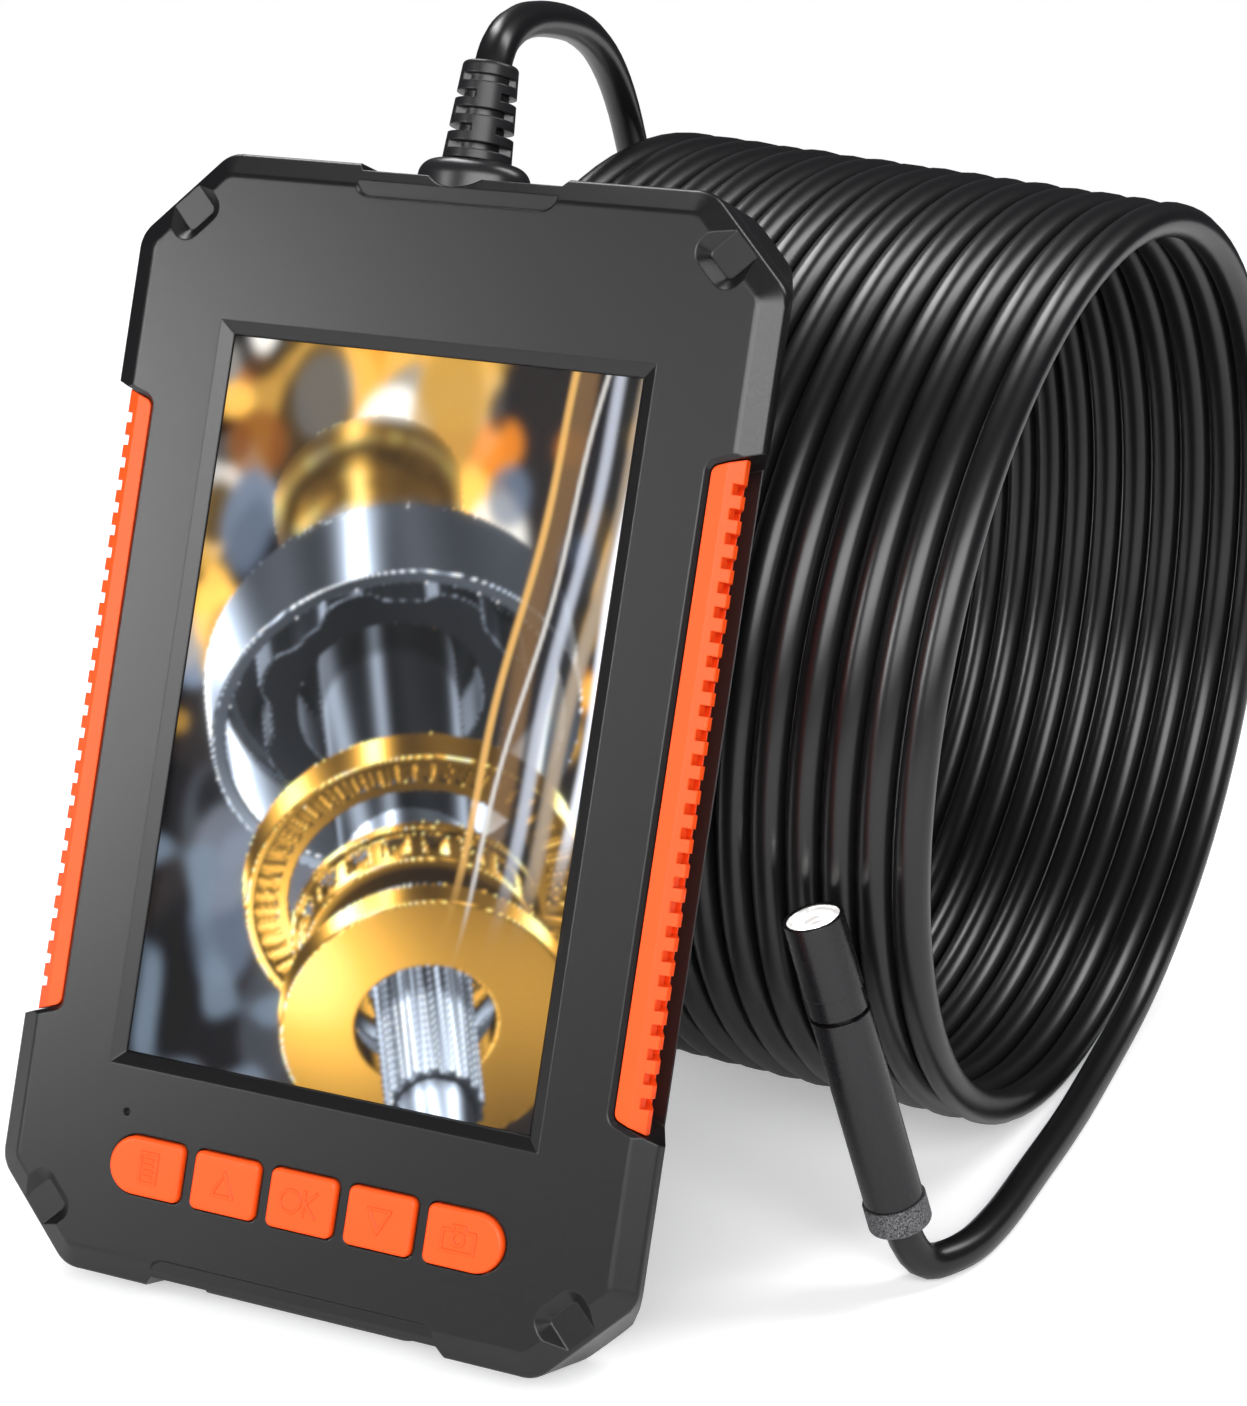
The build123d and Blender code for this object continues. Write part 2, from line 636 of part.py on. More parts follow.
def unit_parts():
    case = cut_case(casing_block())
    parts = {"front_shell": front_shell(case), "rear_shell": rear_shell(case), "case_seal": seal_ring()}
    parts["shell_screws"] = Compound(children=[shell_screw(x, z) for x, z in mirrored(SCREW_AT)])
    parts.update(screen_parts())
    parts.update({name: key(number) for number, name in enumerate(KEY_NAMES)})
    parts["dome_switches"] = Compound(children=[dome_switch(number) for number in range(5)])
    parts["main_board"] = main_board()
    parts["board_screws"] = Compound(children=[board_screw(x, z) for x, z in mirrored(STANDOFF_AT)])
    parts["microphone"] = rod(-27.0, -51.7, FACE_WALL, FACE_WALL + 1.5, 3.2)
    parts["battery_pad"] = block(-22, 22, 7.0, 8.2, -28, 42)
    parts["battery"] = fillet(block(-24, 24, 8.2, 13.0, -32, 46).edges().filter_by(Axis.Z), 1.5)
    parts["usb_socket"] = usb_socket()
    parts.update(card_parts())
    parts["port_cover"] = port_cover()
    parts["left_grip"] = grip(-1)
    parts["right_grip"] = grip(1)
    parts["cable_gland"] = gland()
    parts["gland_nut"] = gland_nut()
    parts["strain_relief"] = strain_relief()
    return {name: stand(shape) for name, shape in parts.items()}


def cord_parts():
    parts = {"cable_lead": tube(LEAD_ROUTE), "cable_coil": coil(), "cable_tail": tube(TAIL_ROUTE)}
    parts.update({name: place_head(shape) for name, shape in probe_parts().items()})
    return parts


os.makedirs("parts", exist_ok=True)
for name, shape in {**unit_parts(), **cord_parts()}.items():
    export_step(shape, f"parts/{name}.step")
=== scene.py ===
import math

import bpy
import numpy as np
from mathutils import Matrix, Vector


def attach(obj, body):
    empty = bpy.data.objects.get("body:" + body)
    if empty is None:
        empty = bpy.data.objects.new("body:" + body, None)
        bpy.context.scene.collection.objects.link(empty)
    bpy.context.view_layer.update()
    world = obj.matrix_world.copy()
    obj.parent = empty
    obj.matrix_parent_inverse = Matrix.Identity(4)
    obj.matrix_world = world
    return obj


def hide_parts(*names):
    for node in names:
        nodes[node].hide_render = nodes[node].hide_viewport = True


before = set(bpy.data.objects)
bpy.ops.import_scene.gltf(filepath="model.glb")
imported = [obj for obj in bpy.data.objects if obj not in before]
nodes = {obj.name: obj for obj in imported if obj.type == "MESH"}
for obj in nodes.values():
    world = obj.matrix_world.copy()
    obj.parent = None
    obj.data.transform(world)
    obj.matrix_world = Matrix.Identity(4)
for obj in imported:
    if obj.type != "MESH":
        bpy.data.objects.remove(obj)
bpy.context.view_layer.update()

# ---------- Studio ----------
# A wide soft panel above the camera, a small one on the left for the case's face, and two
# behind that draw thin rims. Floor and wall are white in view and dimmer in reflections,
# so that black plastic stays black.

CAMERA_AT = (0.1701, -0.3175, 0.2082)
CAMERA_TURN = 23.63
CAMERA_DOWN = 20.15
LENS = 76.8
LIGHTS_MEET_AT = Vector((0.02, 0.04, 0.065))

camera_data = bpy.data.cameras.new("camera")
camera_data.lens = LENS
camera_data.clip_start = 0.01
camera = bpy.data.objects.new("camera", camera_data)
camera.location = CAMERA_AT
camera.rotation_euler = (math.radians(90 - CAMERA_DOWN), 0, math.radians(CAMERA_TURN))
bpy.context.scene.collection.objects.link(camera)
bpy.context.scene.camera = camera
bpy.context.scene.view_settings.view_transform = "Standard"


def soft_panel(name, turn, rise, distance, size, watts):
    """A rectangular lamp that faces the object, turn degrees to the right of its front and rise
    degrees above the floor."""
    data = bpy.data.lights.new(name, "AREA")
    data.shape = "RECTANGLE"
    data.size, data.size_y = size
    data.energy = watts
    lamp = bpy.data.objects.new(name, data)
    across = math.radians(turn)
    up = math.radians(rise)
    away = Vector((math.sin(across) * math.cos(up), -math.cos(across) * math.cos(up), math.sin(up)))
    lamp.location = LIGHTS_MEET_AT + distance * away
    lamp.rotation_euler = (-away).to_track_quat("-Z", "Y").to_euler()
    bpy.context.scene.collection.objects.link(lamp)


soft_panel("front_panel", 24, 30, 1.0, (1.1, 0.5), 13)
soft_panel("left_panel", -42, 18, 1.0, (0.22, 0.35), 4)
soft_panel("rear_right_panel", 128, 52, 1.2, (0.3, 0.7), 7)
soft_panel("rear_left_panel", -135, 55, 1.2, (0.3, 0.7), 7)

DIM_ROOM = (0.045, 0.045, 0.05, 1)
WHITE = (1, 1, 1, 1)
world = bpy.data.worlds.new("studio")
world.use_nodes = True
bpy.context.scene.world = world
room = world.node_tree
room.nodes["Background"].inputs["Color"].default_value = DIM_ROOM
white_wall = room.nodes.new("ShaderNodeBackground")
white_wall.inputs["Color"].default_value = WHITE
wall_in_view = room.nodes.new("ShaderNodeLightPath")
either = room.nodes.new("ShaderNodeMixShader")
room.links.new(wall_in_view.outputs["Is Camera Ray"], either.inputs["Fac"])
room.links.new(room.nodes["Background"].outputs["Background"], either.inputs[1])
room.links.new(white_wall.outputs["Background"], either.inputs[2])
room.links.new(either.outputs["Shader"], room.nodes["World Output"].inputs["Surface"])


def new_finish(name, colour, roughness, metallic=0.0, **sockets):
    """A Principled material. Other sockets are given by name, with _ for each space."""
    material = bpy.data.materials.new(name)
    material.use_nodes = True
    shader = material.node_tree.nodes["Principled BSDF"]
    shader.inputs["Base Color"].default_value = (*colour, 1)
    shader.inputs["Roughness"].default_value = roughness
    shader.inputs["Metallic"].default_value = metallic
    for socket, value in sockets.items():
        shader.inputs[socket.replace("_", " ")].default_value = value
    return material


def grain(material, scale, strength, depth=0.00002, colours=None, rough=None, edge=None):
    """Noise over a finish: a bump, and where asked a spread of colour, of roughness, and a
    rounding of sharp edges by the radius edge."""
    tree = material.node_tree
    shader = tree.nodes["Principled BSDF"]
    place = tree.nodes.new("ShaderNodeTexCoord")
    noise = tree.nodes.new("ShaderNodeTexNoise")
    noise.inputs["Scale"].default_value = scale
    noise.inputs["Detail"].default_value = 3
    tree.links.new(place.outputs["Object"], noise.inputs["Vector"])
    bump = tree.nodes.new("ShaderNodeBump")
    bump.inputs["Strength"].default_value = strength
    bump.inputs["Distance"].default_value = depth
    tree.links.new(noise.outputs["Fac"], bump.inputs["Height"])
    tree.links.new(bump.outputs["Normal"], shader.inputs["Normal"])
    if edge:
        rounding = tree.nodes.new("ShaderNodeBevel")
        rounding.samples = 6
        rounding.inputs["Radius"].default_value = edge
        tree.links.new(rounding.outputs["Normal"], bump.inputs["Normal"])
    if colours:
        ramp = tree.nodes.new("ShaderNodeValToRGB")
        for stop, colour, at in zip(ramp.color_ramp.elements, colours, (0.38, 0.62)):
            stop.color = (*colour, 1)
            stop.position = at
        tree.links.new(noise.outputs["Fac"], ramp.inputs["Fac"])
        tree.links.new(ramp.outputs["Color"], shader.inputs["Base Color"])
    if rough:
        spread = tree.nodes.new("ShaderNodeMapRange")
        spread.inputs["From Min"].default_value = 0.3
        spread.inputs["From Max"].default_value = 0.7
        spread.inputs["To Min"].default_value = rough[0]
        spread.inputs["To Max"].default_value = rough[1]
        tree.links.new(noise.outputs["Fac"], spread.inputs["Value"])
        tree.links.new(spread.outputs["Result"], shader.inputs["Roughness"])
    return material


def wear(material, *names):
    """Gives carried-over pieces their finish."""
    for name in names:
        for slot in nodes[name].material_slots:
            slot.material = material


FLOOR_REACH = 0.7
FLOOR_LIFT = (0.36, 0.36, 0.36, 1)
corners = [(FLOOR_REACH * x, FLOOR_REACH * y, 0) for x, y in ((-1, -1), (1, -1), (1, 1), (-1, 1))]
floor_mesh = bpy.data.meshes.new("floor")
floor_mesh.from_pydata(corners, [], [(0, 1, 2, 3)])
floor = bpy.data.objects.new("floor", floor_mesh)
bpy.context.scene.collection.objects.link(floor)
pale_floor = new_finish("pale_floor", (0.82, 0.82, 0.83), 0.8, Emission_Color=FLOOR_LIFT)
floor_tree = pale_floor.node_tree
floor_in_view = floor_tree.nodes.new("ShaderNodeLightPath")
floor_tree.links.new(floor_in_view.outputs["Is Camera Ray"],
                     floor_tree.nodes["Principled BSDF"].inputs["Emission Strength"])
floor_mesh.materials.append(pale_floor)

# ---------- Cable ----------
# One round lead with a smooth black PVC jacket: over the top of the unit, down into
# sixteen close turns standing on their rims, then along the floor to the probe head.

MM = 0.001
CABLE_DIAMETER = 4.8
CABLE = CABLE_DIAMETER * MM
LEAD_ROUTE = [
    (-0.8, 29.20, 148.08), (-0.8, 31.4, 153.5), (-1.7, 37.8, 156.5), (-2.9, 49.0, 156.7),
    (-5.2, 70.0, 152.6), (-7.0, 85.0, 143.3), (-8.2, 95.5, 128.0), (-8.7, 106.5, 104.0),
    (-8.9, 115.6, 78.0), (-8.6, 120.2, 51.0), (-7.6, 114.7, 26.0), (-6.0, 101.7, 8.6),
    (-4.4, 83.3, 2.4),
]
TAIL_ROUTE = [
    (74.2, 76.0, 2.4), (74.4, 60.5, 2.4), (73.8, 44.0, 2.4), (73.4, 30.5, 2.4),
    (71.8, 20.3, 2.4), (66.6, 12.6, 3.0), (64.8, 11.4, 12.8),
]
TURNS = 16
TURN_POINTS = 16
COIL_LEFT = np.array([-1.6, 83.1, 67.9])
COIL_OUTER_LEFT = 67.9
COIL_OUTER_RIGHT = 66.1
COIL_LENGTH = 74.0
COIL_YAW = math.radians(-5.3)
SLACK = 0.15


def coil_points():
    """The turns: a circle about the coil's axis that moves along it, and narrows, as it goes
    round. Slow waves take up to SLACK off the radius. A control point lies outside the line it
    bends, by 1 over the cosine of half a step."""
    dip = math.asin((COIL_OUTER_LEFT - COIL_OUTER_RIGHT) / COIL_LENGTH)
    level = np.array([math.cos(COIL_YAW), math.sin(COIL_YAW), 0])
    axis = level * math.cos(dip) - np.array([0, 0, math.sin(dip)])
    back = np.array([-math.sin(COIL_YAW), math.cos(COIL_YAW), 0])
    up = np.cross(axis, back)
    turn = np.arange(1, TURNS * TURN_POINTS)[:, None] / TURN_POINTS - 0.5
    along = turn * COIL_LENGTH / (TURNS - 1)
    slack = SLACK * (0.5 + 0.5 * np.sin(2.6 * turn + 0.7)) * (0.5 + 0.5 * np.sin(9.1 * turn))
    outer = COIL_OUTER_LEFT - (COIL_OUTER_LEFT - COIL_OUTER_RIGHT) * along / COIL_LENGTH
    radius = (outer - CABLE_DIAMETER / 2 - slack) / math.cos(math.pi / TURN_POINTS)
    angle = 2 * np.pi * turn
    return COIL_LEFT + axis * along + radius * (np.cos(angle) * up + np.sin(angle) * back)


def nurbs_cord(name, points, diameter):
    """An open smooth line through its control points, with a round section."""
    data = bpy.data.curves.new(name, "CURVE")
    data.dimensions = "3D"
    spline = data.splines.new("NURBS")
    spline.points.add(len(points) - 1)
    flat = np.ones((len(points), 4))
    flat[:, :3] = points
    spline.points.foreach_set("co", flat.ravel())
    spline.order_u = 3
    spline.use_endpoint_u = True
    data.resolution_u = 6
    data.bevel_depth = diameter / 2
    data.bevel_resolution = 5
    data.use_fill_caps = True
    cord = bpy.data.objects.new(name, data)
    bpy.context.scene.collection.objects.link(cord)
    return cord


route = np.vstack([LEAD_ROUTE, coil_points(), TAIL_ROUTE]) * MM
cable = nurbs_cord("cable", route, CABLE)
jacket = grain(new_finish("cable_jacket", (0.005, 0.005, 0.0055), 0.31), 900, 0.04)
cable.data.materials.append(jacket)
wear(jacket, "cable_lead", "cable_coil", "cable_tail")
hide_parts("cable_lead", "cable_coil", "cable_tail")
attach(cable, "root")

# ---------- Casing ----------
# Two shells of black ABS with a satin moulded face, sealed at the seam by a silicone
# loop and held by six black screws from the back. A rubber flap covers the sockets.

housing = grain(new_finish("housing_plastic", (0.004, 0.004, 0.0045), 0.33), 5200, 0.2,
                rough=(0.30, 0.38), edge=0.0003)
wear(housing, "front_shell", "rear_shell")
black_zinc = grain(new_finish("black_zinc", (0.06, 0.06, 0.065), 0.35, 1.0), 3000, 0.3)
wear(black_zinc, "shell_screws", "board_screws")
wear(grain(new_finish("grey_silicone", (0.05, 0.05, 0.05), 0.6), 1500, 0.3), "case_seal")
cover_rubber = grain(new_finish("cover_rubber", (0.022, 0.022, 0.023), 0.55), 2500, 0.4, edge=0.0002)
wear(cover_rubber, "port_cover")

# ---------- Display ----------
# A clear hardened window on a foam seal, and behind it the lit panel in its steel tray.
# The panel shows what the probe sees: rings and a splined shaft of polished metal. In its
# picture u is to the right and v up, in millimetres from the middle of the screen.

LEAN = math.radians(21.8)
FACE_MIDDLE = np.array([0.0, -7.7, 73.343])
PANEL_SIZE = (60.0, 96.0)
PANEL_UP = 2.8
PANEL_FRONT = 2.11
PANEL_BACK = 3.39
PICTURE_GRID = (244, 398)


def unit_place(x, depth, z):
    """Millimetres on the upright unit to metres in the frame: the unit leans back by LEAN, so
    depth and z are turned by it about the x axis."""
    y_row = depth * math.cos(LEAN) + z * math.sin(LEAN)
    z_row = z * math.cos(LEAN) - depth * math.sin(LEAN)
    return (np.stack([x + 0 * z, y_row + 0 * x, z_row + 0 * x], axis=-1) + FACE_MIDDLE) * MM


def ring_distance(r, t, inner, outer, near, far, soft=0.4):
    """Signed distance to a turned ring: a box in radius r and place t along the axis, its edges
    rounded by soft."""
    out_r = np.abs(r - (inner + outer) / 2) - (outer - inner) / 2 + soft
    out_t = np.abs(t - (near + far) / 2) - (far - near) / 2 + soft
    outside = np.hypot(np.maximum(out_r, 0), np.maximum(out_t, 0))
    return outside + np.minimum(np.maximum(out_r, out_t), 0) - soft


def wave(angle, count, sharp=3.0):
    """A soft square wave, count times round."""
    return 0.5 + 0.5 * np.tanh(sharp * np.sin(count * angle))


def machinery(r, t, angle):
    """Distances to the gold and to the steel pieces: the nearest of their rings. A wave round the
    axis cuts the roller slots, the cage's windows, the shaft's splines and the rotor's lobes."""
    slots = 0.8 * wave(angle, 52) * (np.abs(r - 20.6) < 1.7)
    windows = 1.5 * wave(angle, 18) * (np.abs(t - 44.5) < 1.6)
    gold = np.minimum.reduce([
        ring_distance(r, t, 4, 10.0 + 0.5 * wave(t, 1.1), -44, -16),
        ring_distance(r, t, 9, 13.2, -41, -37),
        ring_distance(r, t, 8, 12.2, -22, -19),
        ring_distance(r, t + slots, 17.3, 23.2, 33.0, 35.6, 0.25),
        ring_distance(r, t, 22.2, 23.6, 31.5, 36.2),
        ring_distance(r, t, 11.2, 12.4, 41.2, 48.0),
        ring_distance(r + windows, t, 11.2, 16.4, 42.0, 47.4),
        ring_distance(r, t, 15.2, 17.4, 41.4, 42.6, 0.2),
        ring_distance(r, t, 9.8, 20.5, 56.5, 60.2)])
    splines = 0.6 * wave(angle, 17, 2)
    lobes = 2.2 * wave(angle, 7, 2)
    steel = np.minimum.reduce([
        ring_distance(r, t, 23.8, 26.0, -9, 3.5),
        ring_distance(r, t, -1, 24, -12, -9),
        ring_distance(r, t, 13.0, 17.0 + lobes, -10, -1),
        ring_distance(r, t, -1, 9.5, -10, 34),
        ring_distance(r, t, 10.8, 14.5, 49.5, 52.5),
        ring_distance(r, t, -1, 8.0, 30, 50),
        ring_distance(r, t, -1, 6.9 - splines, 50, 76),
        ring_distance(r, t, 2.6, 5.2, 75, 87),
        ring_distance(r, t, -1, 3.0, 75, 83)])
    return gold, steel


def studio_glow(x, y, z):
    """What polished metal mirrors: Gaussian bands above, below, on the left and in front."""
    high = 2.0 * np.exp(-((y - 0.60) / 0.20) ** 2)
    side = 1.5 * np.exp(-((x + 0.62) / 0.15) ** 2)
    low = 1.7 * np.exp(-((y + 1.05) / 0.22) ** 2) * (0.55 - 0.7 * np.clip(x, -0.8, 0.7))
    front = 0.7 * np.exp(-((z + 0.85) / 0.2) ** 2) * np.exp(-((x - 0.1) / 0.25) ** 2)
    return 0.09 + high + side + low + front


def blurred(image, sigma):
    """A Gaussian blur of a height x width x 3 image: its spectrum times a Gaussian."""
    rows = np.fft.fftfreq(image.shape[0])[:, None]
    columns = np.fft.fftfreq(image.shape[1])[None, :]
    fade = np.exp(-2 * (np.pi * sigma) ** 2 * (rows ** 2 + columns ** 2))
    return np.real(np.fft.ifft2(np.fft.fft2(image, axes=(0, 1)) * fade[..., None], axes=(0, 1)))


def soft_discs(image, u, v, seed, count, region, sizes, tints):
    """Adds seeded out-of-focus discs to an image, inside region (low u, high u, low v, high v)."""
    random = np.random.default_rng(seed)
    for _ in range(count):
        centre_u, centre_v = random.uniform(*region[:2]), random.uniform(*region[2:])
        size = random.uniform(*sizes)
        tint = np.array(tints[random.integers(len(tints))]) * random.uniform(0.3, 1.1)
        away = np.hypot(u - centre_u, (v - centre_v) * random.uniform(0.4, 1.1))
        cover = 0.8 / (1 + np.exp((away - size) * 5))[..., None]
        image = image * (1 - cover) + tint * cover
    return image


def backdrop(u, v):
    """The machine behind: gold top left, steel and dark gaps on the left, and grey facets at the
    bottom left, where a sum of bent waves is high."""
    gold, amber = (1.0, 0.62, 0.16), (0.80, 0.30, 0.03)
    steel, white, black = (0.38, 0.47, 0.62), (0.95, 0.93, 0.88), (0.01, 0.01, 0.015)
    grey = (0.2, 0.22, 0.26)
    image = np.ones(u.shape + (3,)) * np.array([0.035, 0.03, 0.03])
    for seed, count, region, sizes, tints in (
            (3, 60, (-30, 12, 22, 50), (2, 6), (gold, gold, white, amber, black)),
            (5, 70, (-30, -2, -6, 26), (1, 4), (black, steel, black, gold, steel, black)),
            (8, 10, (-27, -20, 4, 12), (1.5, 3), (amber, gold, gold)),
            (9, 34, (-30, 2, -50, -4), (1.5, 5.5), (black, black, steel, black, grey)),
            (4, 26, (8, 30, 0, 44), (1, 3.5), (amber, black, steel, black, gold))):
        image = soft_discs(image, u, v, seed, count, region, sizes, tints)
    facets = np.sin(0.30 * u + 0.38 * v + 2.2 * np.sin(0.19 * u - 0.13 * v))
    facets = facets + 0.5 * np.sin(0.7 * u - 0.2 * v)
    ground = 1 / (1 + np.exp(-9 * (facets - 0.55))) / (1 + np.exp(1.2 * (v + 16))) * (u < 6)
    cover = 0.8 * ground[..., None]
    image = image * (1 - cover) + np.array([0.20, 0.25, 0.31]) * cover
    return 1.15 * blurred(image, 2.2) ** 1.25


def near_edges(image, u, v):
    """Adds the wavy edges of plates that stand in front on the right: each is a band about the
    line u = offset + slope * v + a slow wave."""
    for slope, offset, width, tint in (
            (0.06, 19.3, 1.9, (0.16, 0.09, 0.04)), (0.10, 17.2, 0.5, (0.70, 0.40, 0.12)),
            (0.07, 21.9, 1.1, (0.012, 0.012, 0.015)), (0.09, 23.5, 0.9, (0.42, 0.45, 0.52)),
            (0.08, 25.1, 1.0, (0.015, 0.015, 0.015)), (0.10, 26.9, 1.0, (0.34, 0.27, 0.20)),
            (0.04, 28.8, 0.8, (0.85, 0.88, 0.95)), (0.13, 20.6, 0.3, (0.60, 0.58, 0.55))):
        away = np.abs(u - offset - slope * (v - 20) - 0.45 * np.sin(v / 7 + 40 * slope))
        cover = (np.exp(-(away / width) ** 4) / (1 + np.exp(-0.5 * (v + 8 + 100 * slope))))[..., None]
        image = image * (1 - 0.9 * cover) + np.array(tint) * 0.9 * cover
    return image


AXIS_TOWARD = np.array([0.19, -0.64, -0.74])
AXIS_MIDDLE = np.array([0.8, 2.4, 0.0])
RAY_START = -92.0
RAY_END = 70.0
RAY_STEPS = 70
GOLD_TINT = np.array([1.15, 0.60, 0.10])
STEEL_TINT = np.array([0.55, 0.64, 0.78])


def probe_view(u, v):
    """The lit picture: rays straight into the screen meet the turned pieces, and each point
    mirrors the studio. Far pieces and the backdrop are out of focus."""
    toward = AXIS_TOWARD / np.linalg.norm(AXIS_TOWARD)
    side = np.cross(toward, [0, 0, 1.0])
    side /= np.linalg.norm(side)
    other = np.cross(toward, side)

    def about_axis(points):
        local = points - AXIS_MIDDLE
        a, b = local @ side, local @ other
        return np.hypot(a, b), local @ toward, np.arctan2(a, b)

    def nearest(points):
        return np.minimum(*machinery(*about_axis(points)))

    points = np.stack([u, v, np.full_like(u, RAY_START)], axis=-1)
    for _ in range(RAY_STEPS):
        points[..., 2] += np.clip(0.75 * nearest(points), -1, 12)
    r, t, angle = about_axis(points)
    gold, steel = machinery(r, t, angle)
    hit = (np.minimum(gold, steel) < 0.25) & (points[..., 2] < RAY_END)
    nudges = 0.12 * np.eye(3)
    normal = np.stack([nearest(points + nudge) - nearest(points - nudge) for nudge in nudges], axis=-1)
    normal /= np.linalg.norm(normal, axis=-1, keepdims=True) + 1e-9
    mirror = -2 * normal[..., 2:] * normal
    mirror[..., 2] += 1
    mirror += 0.016 * (points - AXIS_MIDDLE - 45 * toward)
    open_air = np.clip(nearest(points + 2.5 * normal) / 2.5, 0.08, 1)
    light = studio_glow(mirror[..., 0], mirror[..., 1], mirror[..., 2]) * open_air
    in_drum = (r < 22) & (t < 30) & (steel < gold)
    on_shaft = (t > 48) & (steel < gold)
    light = light * np.where(in_drum, 0.22, 1.0) * np.where(on_shaft, 0.6, 1.0)
    light = light * (1 + 0.3 * np.sin(9 * mirror[..., 0] + 5 * mirror[..., 1]))
    tint = np.where((gold < steel)[..., None], GOLD_TINT, STEEL_TINT)
    metal = tint * light[..., None] + 0.35 * np.clip(light - 0.9, 0, None)[..., None]
    image = np.where(hit[..., None], np.clip(metal, 0, 1.2), backdrop(u, v))
    unsharp = np.where(hit, np.clip((-4.0 - t) / 26, 0, 1), 0.1)[..., None]
    image = blurred(image, 0.6) * (1 - unsharp) + blurred(image, 3.0) * unsharp
    return np.clip(blurred(near_edges(image, u, v), 0.5), 0.004, 1.0)


def lit_panel():
    """A flat slab: its front is a fine grid that carries the picture, its sides and back are plain."""
    columns, rows = PICTURE_GRID
    u, v = np.meshgrid((np.arange(columns) / (columns - 1) - 0.5) * PANEL_SIZE[0],
                       (np.arange(rows) / (rows - 1) - 0.5) * PANEL_SIZE[1])
    front = unit_place(u, PANEL_FRONT, v + PANEL_UP).reshape(-1, 3)
    index = np.arange(columns * rows).reshape(rows, columns)
    quads = np.stack([index[:-1, :-1], index[:-1, 1:], index[1:, 1:], index[1:, :-1]], axis=-1)
    rim = np.concatenate([index[0, :-1], index[:-1, -1], index[-1, :0:-1], index[:0:-1, 0]])
    back = unit_place(u, PANEL_BACK, v + PANEL_UP).reshape(-1, 3)[rim]
    back_rim = len(front) + np.arange(len(rim))
    sides = np.stack([rim, back_rim, np.roll(back_rim, -1), np.roll(rim, -1)], axis=-1)
    mesh = bpy.data.meshes.new("display_picture")
    faces = quads.reshape(-1, 4).tolist() + sides.tolist() + [back_rim[::-1].tolist()]
    mesh.from_pydata(np.vstack([front, back]), [], faces)
    colours = np.full((len(front) + len(back), 4), 0.01)
    colours[:len(front), :3] = probe_view(u, v).reshape(-1, 3)
    mesh.attributes.new("picture", "FLOAT_COLOR", "POINT").data.foreach_set("color", colours.ravel())
    panel = bpy.data.objects.new("display_picture", mesh)
    bpy.context.scene.collection.objects.link(panel)
    return panel


def lit_finish():
    """The picture glows from the panel by itself, under a matt film."""
    material = new_finish("lit_display", (0.004, 0.004, 0.004), 0.5, Specular_IOR_Level=0.1)
    tree = material.node_tree
    picture = tree.nodes.new("ShaderNodeAttribute")
    picture.attribute_name = "picture"
    shader = tree.nodes["Principled BSDF"]
    tree.links.new(picture.outputs["Color"], shader.inputs["Emission Color"])
    shader.inputs["Emission Strength"].default_value = 1.45
    return material


panel = lit_panel()
panel.data.materials.append(lit_finish())
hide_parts("display_panel")
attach(panel, "root")
wear(new_finish("clear_window", (1, 1, 1), 0.0, Transmission_Weight=1.0, IOR=1.45), "display_window")
wear(grain(new_finish("black_foam", (0.02, 0.02, 0.02), 0.85), 3000, 0.8), "window_seal", "battery_pad")
wear(grain(new_finish("tray_steel", (0.6, 0.6, 0.6), 0.35, 1.0), 2000, 0.3), "display_tray")

# ---------- Keys and grips ----------
# Soft orange silicone: five keys with raised marks, and a slotted strip in each side
# notch. The moulding leaves a very fine matt skin.

ORANGE = (0.95, 0.082, 0.006)
silicone = grain(new_finish("orange_silicone", ORANGE, 0.42, Specular_IOR_Level=0.3), 4200, 0.25,
                 rough=(0.36, 0.5), edge=0.0003)
wear(silicone, "left_grip", "right_grip", "key_menu", "key_up", "key_ok", "key_down", "key_capture")

# ---------- Gland and strain relief ----------
# A polished black nylon gland seated through the top edge, and the soft slit boot that
# keeps the cable from kinking where it leaves.

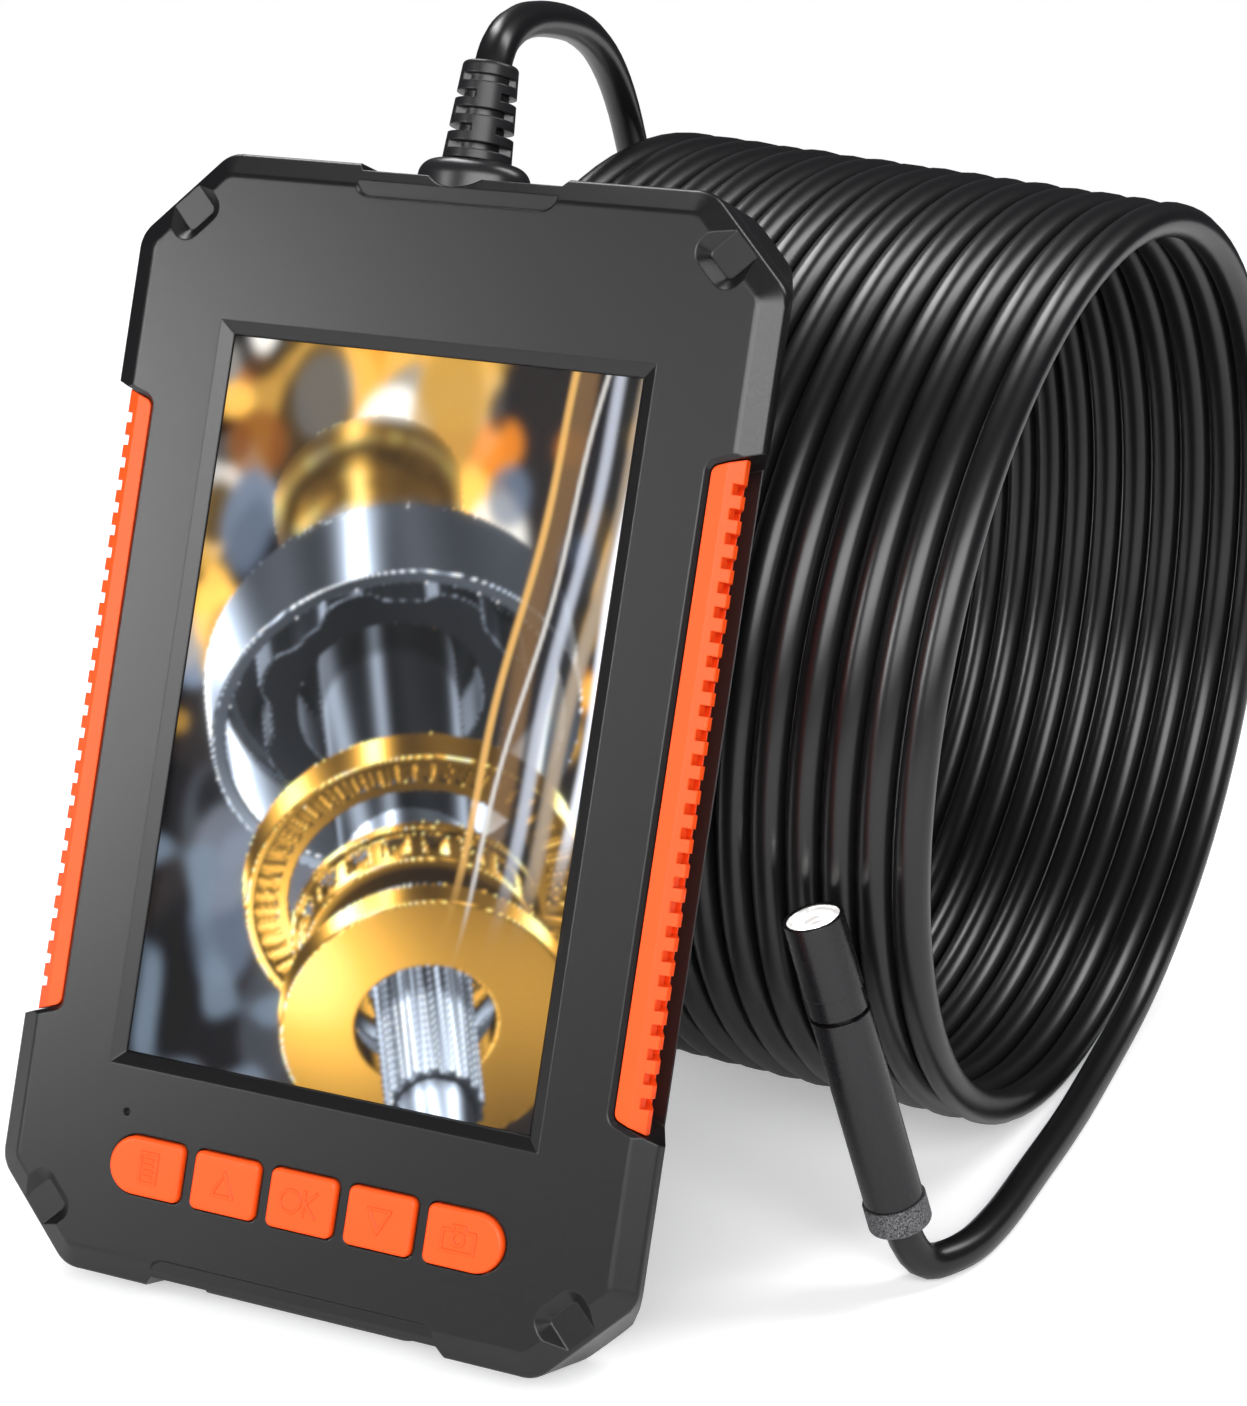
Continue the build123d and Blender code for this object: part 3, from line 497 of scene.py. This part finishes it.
nylon = grain(new_finish("polished_nylon", (0.012, 0.012, 0.013), 0.3), 2600, 0.15, edge=0.0003)
wear(nylon, "cable_gland")
boot_rubber = grain(new_finish("boot_rubber", (0.010, 0.010, 0.011), 0.36), 2600, 0.25, edge=0.0003)
wear(boot_rubber, "strain_relief")
wear(grain(new_finish("brass", (0.75, 0.52, 0.2), 0.3, 1.0), 2000, 0.2), "gland_nut")

# ---------- Probe head ----------
# A steel barrel and screw-on cap with a smooth black coating, in a grey blasted collar.
# White lamps sit round the small lens, under a clear window given a painted glow in place of their
# light filling it.

black_coat = grain(new_finish("black_coat", (0.006, 0.006, 0.007), 0.27), 900, 0.03,
                   rough=(0.25, 0.30), edge=0.0002)
wear(black_coat, "probe_barrel", "probe_cap")
blasted = grain(new_finish("blasted_collar", (0.09, 0.09, 0.095), 0.5, 0.6), 4200, 1.0, depth=0.00008,
                colours=((0.03, 0.03, 0.032), (0.22, 0.22, 0.23)), rough=(0.4, 0.7))
wear(blasted, "probe_collar")
# The cover's emission is a painted glow: it stands in for the lamps' light spreading through the
# window.
window_with_painted_glow = new_finish("lens_cover", (1, 1, 1), 0.25, Transmission_Weight=0.7,
                        Emission_Color=(1.0, 0.99, 0.97, 1), Emission_Strength=0.55)
wear(window_with_painted_glow, "probe_window")
white_lamp = new_finish("white_lamp", (1, 1, 1), 0.4,
                        Emission_Color=(1.0, 0.98, 0.94, 1), Emission_Strength=9)
wear(white_lamp, "probe_lamps")
wear(new_finish("lens_black", (0.01, 0.01, 0.012), 0.15), "lens_barrel")

# ---------- Inside the unit ----------
# The board with its switches, sockets and cell. They are closed in when the case is
# shut, and show only once the rear shell is off.

board = grain(new_finish("solder_mask", (0.01, 0.10, 0.045), 0.35), 700, 0.2,
              colours=((0.008, 0.08, 0.035), (0.015, 0.14, 0.06)))
wear(board, "main_board", "lamp_board", "sensor_board")
plate = grain(new_finish("plated_steel", (0.72, 0.72, 0.74), 0.25, 1.0), 2500, 0.2)
wear(plate, "dome_switches", "microphone", "usb_socket", "card_socket")
wear(grain(new_finish("cell_foil", (0.42, 0.44, 0.47), 0.4, 0.5), 500, 0.4), "battery")
wear(grain(new_finish("card_plastic", (0.02, 0.02, 0.02), 0.4), 3000, 0.2), "memory_card")
